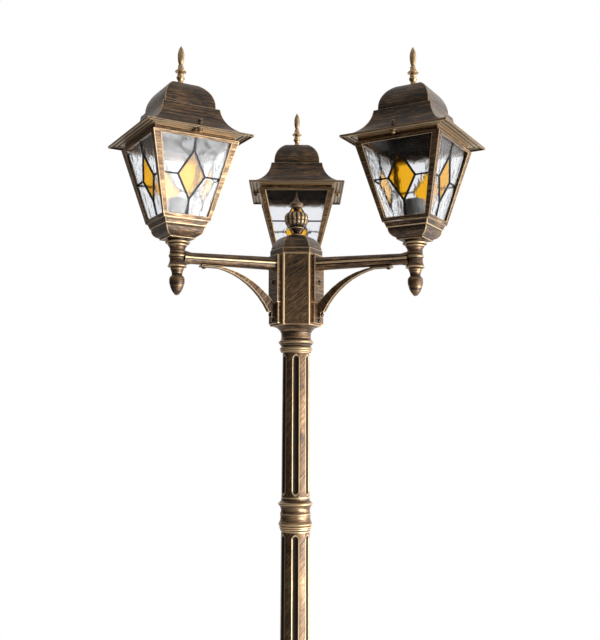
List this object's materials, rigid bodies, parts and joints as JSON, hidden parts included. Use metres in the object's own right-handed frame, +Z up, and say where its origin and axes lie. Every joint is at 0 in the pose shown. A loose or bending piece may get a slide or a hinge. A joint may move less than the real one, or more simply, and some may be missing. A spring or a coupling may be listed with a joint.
{
  "type": "triple head lamp post",
  "caption": "Garden lamp post with square leaded-glass lanterns on bracket arms around a hexagonal hub, fluted pole, flanged foot and lift-off lantern roofs.",
  "frame": {"origin": "on the ground in the middle of the foot, centre of the anchor holes", "axes": "+Z up the post, +Y along the rear arm, the two front arms 30 degrees below +X and -X in plan"},
  "size_m": [0.6614, 0.5728, 2.2603],
  "materials": {
    "cast_bronze": "cast aluminium, black under brushed antique gold, satin",
    "roof_bronze": "cast aluminium, dark brown with fine level brush marks, satin",
    "cage_bronze": "cast aluminium, lighter brushed gold over black, satin",
    "clear_glass": "clear cathedral glass with a wavy surface, glossy",
    "amber_glass": "amber cathedral glass, glossy",
    "came": "dark lead-coloured came, satin",
    "porcelain": "pale grey glazed insulator, gloss",
    "brass": "plain brass, satin",
    "zinc_steel": "zinc-plated steel, satin",
    "screw_bronze": "dark bronzed steel, semi-gloss",
    "terminal_plastic": "off-white nylon, matt"
  },
  "bodies": {
    "post": {"foot_casting": "cast_bronze", "lower_pole": "cast_bronze", "collar": "cast_bronze", "upper_pole": "cast_bronze", "hub_body": "cast_bronze", "hub_cap": "roof_bronze", "hub_finial": "cast_bronze", "hub_rod": "zinc_steel", "terminal_block": "terminal_plastic", "arm_screws": "screw_bronze", "left_arm": "cast_bronze", "left_brace": "cast_bronze", "left_acorn_nut": "cast_bronze", "left_hollow_bolt": "zinc_steel", "left_tray": "cage_bronze", "left_cage": "cage_bronze", "left_clear_panes": "clear_glass", "left_amber_panes": "amber_glass", "left_came": "came", "left_lampholder": "porcelain", "left_screw_shell": "brass", "left_contact": "brass", "right_arm": "cast_bronze", "right_brace": "cast_bronze", "right_acorn_nut": "cast_bronze", "right_hollow_bolt": "zinc_steel", "right_tray": "cage_bronze", "right_cage": "cage_bronze", "right_clear_panes": "clear_glass", "right_amber_panes": "amber_glass", "right_came": "came", "right_lampholder": "porcelain", "right_screw_shell": "brass", "right_contact": "brass", "rear_arm": "cast_bronze", "rear_brace": "cast_bronze", "rear_acorn_nut": "cast_bronze", "rear_hollow_bolt": "zinc_steel", "rear_tray": "cage_bronze", "rear_cage": "cage_bronze", "rear_clear_panes": "clear_glass", "rear_amber_panes": "amber_glass", "rear_came": "came", "rear_lampholder": "porcelain", "rear_screw_shell": "brass", "rear_contact": "brass"},
    "roof_left": {"left_roof": "roof_bronze", "left_roof_finial": "cage_bronze"},
    "screw_left_a": {"left_thumb_screw_a": "brass"},
    "screw_left_b": {"left_thumb_screw_b": "brass"},
    "roof_right": {"right_roof": "roof_bronze", "right_roof_finial": "cage_bronze"},
    "screw_right_a": {"right_thumb_screw_a": "brass"},
    "screw_right_b": {"right_thumb_screw_b": "brass"},
    "roof_rear": {"rear_roof": "roof_bronze", "rear_roof_finial": "cage_bronze"},
    "screw_rear_a": {"rear_thumb_screw_a": "brass"},
    "screw_rear_b": {"rear_thumb_screw_b": "brass"}
  },
  "joints": [
    {"name": "left_roof_lift", "type": "slide", "parent": "post", "child": "roof_left", "axis": [0, 0, 1], "range_m": [0, 0.15]},
    {"name": "left_screw_a_turn", "type": "hinge", "parent": "post", "child": "screw_left_a", "pos_m": [-0.15792, -0.19048, 2.087], "axis": [0, 0, 1], "continuous": true},
    {"name": "left_screw_b_turn", "type": "hinge", "parent": "post", "child": "screw_left_b", "pos_m": [-0.24392, -0.04152, 2.087], "axis": [0, 0, 1], "continuous": true},
    {"name": "right_roof_lift", "type": "slide", "parent": "post", "child": "roof_right", "axis": [0, 0, 1], "range_m": [0, 0.15]},
    {"name": "right_screw_a_turn", "type": "hinge", "parent": "post", "child": "screw_right_a", "pos_m": [0.24392, -0.04152, 2.087], "axis": [0, 0, 1], "continuous": true},
    {"name": "right_screw_b_turn", "type": "hinge", "parent": "post", "child": "screw_right_b", "pos_m": [0.15792, -0.19048, 2.087], "axis": [0, 0, 1], "continuous": true},
    {"name": "rear_roof_lift", "type": "slide", "parent": "post", "child": "roof_rear", "axis": [0, 0, 1], "range_m": [0, 0.15]},
    {"name": "rear_screw_a_turn", "type": "hinge", "parent": "post", "child": "screw_rear_a", "pos_m": [-0.086, 0.232, 2.087], "axis": [0, 0, 1], "continuous": true},
    {"name": "rear_screw_b_turn", "type": "hinge", "parent": "post", "child": "screw_rear_b", "pos_m": [0.086, 0.232, 2.087], "axis": [0, 0, 1], "continuous": true}
  ]
}
